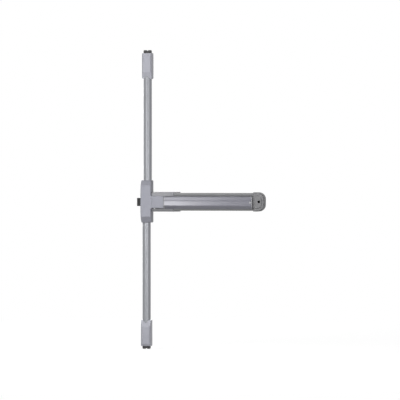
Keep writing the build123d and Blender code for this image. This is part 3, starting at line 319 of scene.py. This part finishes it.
rod_colour = (0.45, 0.45, 0.46)
drawn_marks = (1, 1, 0.02)
rod_steel = bright_steel("drawn_rod_steel", rod_colour, roughness=0.26, stretch=drawn_marks)
dress(rod_steel, "upper_rod", "lower_rod", "upper_rod_nut", "lower_rod_nut")
dress(rod_steel, "top_bolt_pin", "bottom_bolt_pin")


# Guides of the rods, the bolts and the pull bar.
# Moulded in black nylon with a fine spark-eroded grain.
# The rings are pressed in the rod covers, the others sit on the door plates and the rail.

nylon_colour = (0.022, 0.022, 0.023)
nylon_grain = 0.0004
flow_patch = 0.02
flow_tone = (0.94, 1.06)
moulded_gloss = 0.04
moulded_dullness = 0.05
moulded_relief = 0.00002
moulded_edge = 0.0003


def moulding(name, colour, roughness, grain):
    """Moulded plastic with an even fine grain."""
    made, tree, shader = bare_finish(name, metallic=0.0)
    pits = cloud(tree, grain, detail=2)
    flow = cloud(tree, flow_patch)
    join(tree, tinted(tree, colour, spread(tree, flow, *flow_tone)), shader.inputs["Base Color"])
    dull = spread(tree, pits, roughness - moulded_gloss, roughness + moulded_dullness)
    join(tree, dull, shader.inputs["Roughness"])
    relief(tree, shader, pits, moulded_relief, moulded_edge)
    return made


nylon = moulding("black_nylon", nylon_colour, roughness=0.5, grain=nylon_grain)
dress(nylon, "upper_rod_guides", "lower_rod_guides", "top_bolt_guide", "bottom_bolt_guide", "bar_guides")


# Bolts at the top and the bottom, and the side latch with its guide and pin.
# Cast and ground steel, blackened, with a dull gloss and edges rubbed bare by their strikes.
# The bolts are pinned to the rods, and the latch slides in a bent guide under the case front.

bolt_colour = (0.052, 0.052, 0.053)
latch_colour = (0.017, 0.018, 0.019)
rubbed_colour = (0.13, 0.13, 0.133)
bolt_metal = 0.2
bolt_stain = 0.0025
bolt_tone = (0.85, 1.15)
bolt_roughness = (0.36, 0.5)
bolt_grain = 0.0005
bolt_relief = 0.00001
rubbed_width = 0.0004
rubbed_corner = (0.86, 0.99)
rubbed_share = (0.05, 0.4)
rubbed_span = (0.45, 0.65)
oil_shine = 0.3
guide_colour = (0.40, 0.41, 0.42)
bent_marks = (0.1, 1, 1)


def along_edges(tree, rounded, corner):
    """1 along sharp edges, 0 on flat stretches, by how far a rounded normal leaves the true one."""
    true = tree.nodes.new("ShaderNodeNewGeometry")
    match = tree.nodes.new("ShaderNodeVectorMath")
    match.operation = "DOT_PRODUCT"
    join(tree, rounded, match.inputs[0])
    join(tree, true.outputs["Normal"], match.inputs[1])
    return spread(tree, match.outputs["Value"], 1.0, 0.0, corner)


def blackened(name, colour):
    """Black bolt finish, rubbed to grey steel along its sharp edges."""
    made, tree, shader = bare_finish(name, bolt_metal)
    shader.inputs["Specular IOR Level"].default_value = oil_shine
    stain = cloud(tree, bolt_stain)
    rounded = relief(tree, shader, cloud(tree, bolt_grain), bolt_relief, rubbed_width)
    edge = along_edges(tree, rounded, rubbed_corner)
    mask = times(tree, edge, spread(tree, stain, *rubbed_share, rubbed_span))
    mixed = tree.nodes.new("ShaderNodeMix")
    mixed.data_type = "RGBA"
    mixed.inputs["B"].default_value = (*rubbed_colour, 1)
    join(tree, mask, mixed.inputs["Factor"])
    join(tree, tinted(tree, colour, spread(tree, stain, *bolt_tone)), mixed.inputs["A"])
    join(tree, mixed.outputs["Result"], shader.inputs["Base Color"])
    join(tree, spread(tree, stain, *bolt_roughness), shader.inputs["Roughness"])
    return made


dress(blackened("black_bolt", bolt_colour), "top_bolt", "bottom_bolt")
dress(blackened("black_latch", latch_colour), "side_latch")
dress(bright_steel("latch_guide_steel", guide_colour, roughness=0.34, stretch=bent_marks), "latch_guide")
dress(rod_steel, "latch_pin")


# Rail of the push bar.
# Extruded aluminium channel, satin anodised in grey, with die lines along its whole length.
# It's tied to the case by the sleeve and to the door by the bracket at its far end.

rail_colour = (0.336, 0.338, 0.345)
rail_shine = 0.4
die_line = 0.00035
die_stretch = 0.012
die_tone = (0.98, 1.02)
die_dullness = 0.02
etch_grain = 0.00025
etch_relief = 0.000003
extruded_edge = 0.0004
shade_patch = 0.09
shade_tone = (0.985, 1.015)


def anodised(name, colour, metallic, roughness, stretch, shine):
    """Satin anodised extrusion: fine matt grain, and faint die lines along the profile."""
    made, tree, shader = bare_finish(name, metallic)
    shader.inputs["Specular IOR Level"].default_value = shine
    lines = cloud(tree, die_line, stretch, detail=2)
    etch = cloud(tree, etch_grain, detail=1)
    shade = cloud(tree, shade_patch)
    tone = times(tree, spread(tree, lines, *die_tone), spread(tree, shade, *shade_tone))
    join(tree, tinted(tree, colour, tone), shader.inputs["Base Color"])
    dull = spread(tree, lines, roughness - die_dullness, roughness + die_dullness)
    join(tree, dull, shader.inputs["Roughness"])
    relief(tree, shader, etch, etch_relief, extruded_edge)
    return made


along_rail = (die_stretch, 1, 1)
dress(anodised("anodised_rail", rail_colour, metallic=0.1, roughness=0.4, stretch=along_rail,
               shine=rail_shine), "rail")


# Drive of the push bar: pull bar, bell cranks, their pins and brackets.
# Blanked from steel plate, with the pins pressed in and the rack cut in the bar's lower edge.
# The brackets are screwed to the back wall of the rail, and the bar runs in its guides.

bar_colour = (0.40, 0.405, 0.41)
blanked_marks = (0.05, 1, 1)
bar_steel = bright_steel("bar_steel", bar_colour, roughness=0.34, stretch=blanked_marks)
dress(bar_steel, "pull_bar", "crank_near", "crank_far")
dress(rod_steel, "crank_pins_near", "crank_pins_far", "crank_pivot_pins")
dress(bar_steel, "crank_bracket_near", "crank_bracket_far", "bracket_screws")


# Lugs inside the push pad, with the blind rivets that hold them.
# The lugs are bent from steel strip, and the rivets are aluminium with domed heads.
# A slot in each cheek takes the upper pin of a crank.

rivet_colour = (0.5, 0.5, 0.505)
headed_marks = (1, 1, 1)
dress(bar_steel, "pad_lug_near", "pad_lug_far")
dress(bright_steel("rivet_aluminium", rivet_colour, roughness=0.36, stretch=headed_marks), "pad_lug_rivets")


# Push pad.
# Extruded aluminium, brushed and anodised with a brighter gloss than the rail, cut square at both ends.
# It's hooked behind the lips of the rail and rides on the cranks.

pad_colour = (0.236, 0.235, 0.282)
pad_shine = 0.6
dress(anodised("anodised_pad", pad_colour, metallic=0.05, roughness=0.18, stretch=along_rail,
               shine=pad_shine), "push_pad")


# End plugs of the push pad and the round plug in its fixing hole.
# Moulded in grey plastic with a satin surface, the round plug in a lighter grey.
# They are pressed in, the end plugs by a hollow spigot.

plug_colour = (0.39, 0.39, 0.405)
button_colour = (0.50, 0.50, 0.515)
plug_grain = 0.0005
dress(moulding("grey_plug", plug_colour, roughness=0.42, grain=plug_grain),
      "pad_end_plug_near", "pad_end_plug_far")
dress(moulding("light_grey_plug", button_colour, roughness=0.42, grain=plug_grain), "pad_button")


# Sleeve over the first end of the rail, with its two screws and nuts.
# Die cast in zinc, lacquered silver grey, cut back at a slant along the rail.
# Its end wall is screwed to the side of the centre case.

sleeve_colour = (0.458, 0.458, 0.48)
peel_grain = 0.0016
peel_relief = 0.000012
peel_gloss = 0.02
peel_dullness = 0.03
flake_grain = 0.00022
flake_tone = (0.96, 1.04)
cast_patch = 0.03
cast_tone = (0.985, 1.015)
cast_edge = 0.0006
# Width, corner span and lift of a painted highlight that lightens the lacquer along its edges.
edge_highlight_width = 0.0015
edge_highlight_corner = (0.95, 0.999)
edge_highlight_lift = 1.12
low_shine = 0.2
dark_edge = (0.25, 0.25, 0.25, 1)


def lacquer(name, colour, metallic, roughness, shine=low_shine, edge_tint=dark_edge):
    """Silver lacquer on a casting: flakes, slight orange peel, and a painted highlight along its edges."""
    made, tree, shader = bare_finish(name, metallic)
    shader.inputs["Specular IOR Level"].default_value = shine
    shader.inputs["Specular Tint"].default_value = edge_tint
    peel = cloud(tree, peel_grain, detail=1)
    flake = cloud(tree, flake_grain, detail=0)
    uneven = cloud(tree, cast_patch)
    soft = tree.nodes.new("ShaderNodeBevel")
    soft.samples = edge_samples
    soft.inputs["Radius"].default_value = edge_highlight_width
    painted_edge_highlight = along_edges(tree, soft.outputs["Normal"], edge_highlight_corner)
    tone = times(tree, spread(tree, flake, *flake_tone), spread(tree, uneven, *cast_tone))
    # Lifting the colour along the edges paints a highlight there.
    tone = times(tree, tone, spread(tree, painted_edge_highlight, 1.0, edge_highlight_lift, (0.0, 1.0)))
    join(tree, tinted(tree, colour, tone), shader.inputs["Base Color"])
    dull = spread(tree, peel, roughness - peel_gloss, roughness + peel_dullness)
    join(tree, dull, shader.inputs["Roughness"])
    relief(tree, shader, peel, peel_relief, cast_edge)
    return made


dress(lacquer("sleeve_lacquer", sleeve_colour, metallic=0.05, roughness=0.42), "rail_sleeve")
dress(bar_steel, "sleeve_screws")


# Covers over the vertical rods.
# Drawn aluminium tube, 31 mm outside, satin anodised, with fine lines along its length.
# Each tube is held between the centre case and an end case.

tube_colour = (0.361, 0.371, 0.398)
tube_shine = 0.4
along_tube = (1, 1, die_stretch)
dress(anodised("anodised_tube", tube_colour, metallic=0.2, roughness=0.3, stretch=along_tube,
               shine=tube_shine), "upper_rod_cover", "lower_rod_cover")


# Cover of the centre case, with its two small screws.
# Die cast in zinc in one piece with the neck and lacquered silver grey, with a painted highlight along its
# edges.
# It slips over the case plate, and the screws hold it to the plate's tabs.

case_colour = (0.359, 0.363, 0.411)
dress(lacquer("case_lacquer", case_colour, metallic=0.12, roughness=0.38), "case_cover")
dress(bar_steel, "cover_screws")


# Covers of the two end cases, with their screws.
# Die cast in zinc like the centre case, in the same lacquer. Its copy here is lighter and glossier: painted
# light that makes up for the ends getting less light than the centre.
# They slip over their door plates and take the ends of the rod covers.

# A lighter copy of the case lacquer: painted light for the ends, which get less light than the centre.
end_case_lit_colour = (0.409, 0.413, 0.465)
end_case_shine = 0.7
end_case_edge = (0.8, 0.8, 0.82, 1)
dress(lacquer("end_case_lacquer_lit_copy", end_case_lit_colour, metallic=0.12, roughness=0.38, shine=end_case_shine,
              edge_tint=end_case_edge), "top_case_cover", "bottom_case_cover")
dress(bar_steel, "top_case_screws", "bottom_case_screws")


# End cap with its screws, and the dogging screw and cam behind its key hole.
# The cap is cast and lacquered in a darker grey, the screw and its cam are hardened and blackened; the
# screw is made near black without shine, painted shade for its deep key hole.
# The cap slips over the bracket at the rail's end, and the screw turns in the bracket.

cap_colour = (0.335, 0.335, 0.344)
# Near black without shine: a blackened screw, darkened further as painted shade in the key hole.
key_hole_shade_colour = (0.005, 0.005, 0.006)
dress(lacquer("cap_lacquer", cap_colour, metallic=0.0, roughness=0.5), "end_cap")
dress(bar_steel, "end_cap_screws")
dress(oxide, "dog_cam")
dress(black_oxide("key_hole_shade_oxide", key_hole_shade_colour, metallic=0.0, shine=0.02), "dogging_screw")


# Floor: a wide disc of pale matt paper just under the bottom bolt.
# Its own colour takes the shadow, and a glow that only the camera and reflections see lifts it
# to the white of the background, into which it fades further out.

floor_drop = 0.004
floor_radius = 6.0
floor_sides = 96
paper_colour = (0.35, 0.35, 0.35, 1)
paper_glow = 0.88
fade_span = (1.0, 2.2)

floor_z = cad_low.z - floor_drop
rim = [(floor_radius * math.cos(math.tau * side / floor_sides),
        floor_radius * math.sin(math.tau * side / floor_sides), floor_z)
       for side in range(floor_sides)]
floor_mesh = bpy.data.meshes.new("floor")
floor_mesh.from_pydata(rim, [], [list(range(floor_sides))])
floor = bpy.data.objects.new("floor", floor_mesh)
bpy.context.scene.collection.objects.link(floor)
floor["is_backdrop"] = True


def seen_directly(tree):
    """1 for camera, glossy and transmission rays, and 0 for the light that the object gets."""
    path = tree.nodes.new("ShaderNodeLightPath")
    total = path.outputs["Is Camera Ray"]
    for ray in ("Is Glossy Ray", "Is Transmission Ray"):
        most = tree.nodes.new("ShaderNodeMath")
        most.operation = "MAXIMUM"
        join(tree, total, most.inputs[0])
        join(tree, path.outputs[ray], most.inputs[1])
        total = most.outputs[0]
    return total


def pale_paper():
    """Matt paper with a glow for the camera, which turns to plain white far from the object."""
    made = bpy.data.materials.new("pale_paper")
    made.use_nodes = True
    tree = made.node_tree
    tree.nodes.remove(tree.nodes["Principled BSDF"])
    direct = seen_directly(tree)
    matt = tree.nodes.new("ShaderNodeBsdfDiffuse")
    matt.inputs["Color"].default_value = paper_colour
    glow = tree.nodes.new("ShaderNodeEmission")
    join(tree, spread(tree, direct, 0.0, paper_glow, (0.0, 1.0)), glow.inputs["Strength"])
    near = tree.nodes.new("ShaderNodeAddShader")
    join(tree, matt.outputs[0], near.inputs[0])
    join(tree, glow.outputs[0], near.inputs[1])
    white = tree.nodes.new("ShaderNodeEmission")
    join(tree, direct, white.inputs["Strength"])
    place = tree.nodes.new("ShaderNodeTexCoord")
    reach = tree.nodes.new("ShaderNodeVectorMath")
    reach.operation = "LENGTH"
    join(tree, place.outputs["Object"], reach.inputs[0])
    blend = tree.nodes.new("ShaderNodeMixShader")
    fade = spread(tree, reach.outputs["Value"], 0.0, 1.0, fade_span)
    join(tree, fade, blend.inputs["Fac"])
    join(tree, near.outputs[0], blend.inputs[1])
    join(tree, white.outputs[0], blend.inputs[2])
    join(tree, blend.outputs[0], tree.nodes["Material Output"].inputs["Surface"])
    return made


floor_mesh.materials.append(pale_paper())


# Studio light: a dim, even room and eight soft boxes. The pad mirrors the one in front, the tubes the
# one at the left. A wide one stands further out, two hang high, two light the far sides from the right,
# and one stands behind the door plane to show the back.

room_level = 0.052
plain_white = (1, 1, 1, 1)

studio = bpy.data.worlds.new("studio")
bpy.context.scene.world = studio
studio.use_nodes = True
tree = studio.node_tree
tree.nodes.clear()
room = tree.nodes.new("ShaderNodeBackground")
room.inputs["Color"].default_value = plain_white
room.inputs["Strength"].default_value = room_level
backdrop = tree.nodes.new("ShaderNodeBackground")
backdrop.inputs["Color"].default_value = plain_white
either = tree.nodes.new("ShaderNodeMixShader")
join(tree, seen_directly(tree), either.inputs["Fac"])
join(tree, room.outputs[0], either.inputs[1])
join(tree, backdrop.outputs[0], either.inputs[2])
sky = tree.nodes.new("ShaderNodeOutputWorld")
join(tree, either.outputs[0], sky.inputs["Surface"])


def soft_box(name, place, aim, width, height, level):
    """Soft box. Its level is the share of an evenly lit white that it gives at its aim."""
    light = bpy.data.lights.new(name, "AREA")
    light.shape = "RECTANGLE"
    light.size = width
    light.size_y = height
    box = bpy.data.objects.new(name, light)
    bpy.context.scene.collection.objects.link(box)
    box.location = place
    beam = Vector(aim) - Vector(place)
    box.rotation_euler = beam.to_track_quat("-Z", "Y").to_euler()
    light.energy = level * math.pi ** 2 * beam.length ** 2


soft_box("front_box", place=(-0.25, -1.35, -0.08), aim=(0, 0, -0.08), width=0.3, height=0.34, level=0.082)
soft_box("left_box", place=(-0.7, -1.35, 0.45), aim=(0, 0, 0.05), width=0.3, height=1.5, level=0.17)
soft_box("wide_box", place=(-0.9, -3.6, 0.2), aim=(0.1, 0, 0), width=1.0, height=1.0, level=0.1)
soft_box("high_box", place=(-1.0, -2.9, 2.7), aim=(0.1, 0, -0.1), width=1.6, height=1.6, level=0.17)
soft_box("right_high_box", place=(1.6, -2.7, 2.2), aim=(0.1, 0, -0.1), width=0.8, height=0.8, level=0.107)
soft_box("fill_box", place=(1.25, -2.6, -0.1), aim=(0.05, 0, -0.2), width=0.35, height=0.9, level=0.184)
soft_box("side_box", place=(2.4, -2.0, 0.3), aim=(0, 0, 0), width=0.6, height=1.6, level=0.045)
soft_box("back_box", place=(-0.75, 2.6, 0.1), aim=(0, 0, 0), width=0.7, height=1.0, level=0.36)


# Camera at the photograph's angle: 11 degrees towards the far end of the bar, half a degree up.
# A pixel of the picture, which is 400 pixels wide, is 3.8 mm at the object's origin, and the origin
# shows at origin_pixel.

azimuth = math.radians(11)
elevation = math.radians(0.5)
camera_distance = 10.0
furthest_seen = 100
metres_per_pixel = 0.0038
picture = 400
origin_pixel = (148.17, 201.66)
sensor = 36

back = Vector((math.sin(azimuth) * math.cos(elevation),
               -math.cos(azimuth) * math.cos(elevation),
               math.sin(elevation)))
right = Vector((math.cos(azimuth), math.sin(azimuth), 0))
up = right.cross(-back)
across = (picture / 2 - origin_pixel[0]) * metres_per_pixel
rise = (origin_pixel[1] - picture / 2) * metres_per_pixel
lens = bpy.data.cameras.new("camera")
camera = bpy.data.objects.new("camera", lens)
bpy.context.scene.collection.objects.link(camera)
camera.location = right * across + up * rise + back * camera_distance
camera.rotation_euler = (-back).to_track_quat("-Z", "Y").to_euler()
lens.sensor_width = sensor
lens.lens = sensor * camera_distance / (picture * metres_per_pixel)
lens.clip_end = furthest_seen
bpy.context.scene.camera = camera
bpy.context.scene.view_settings.view_transform = "Standard"

# The boxes of the CAD model and of the finished model, in metres.
low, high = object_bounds()
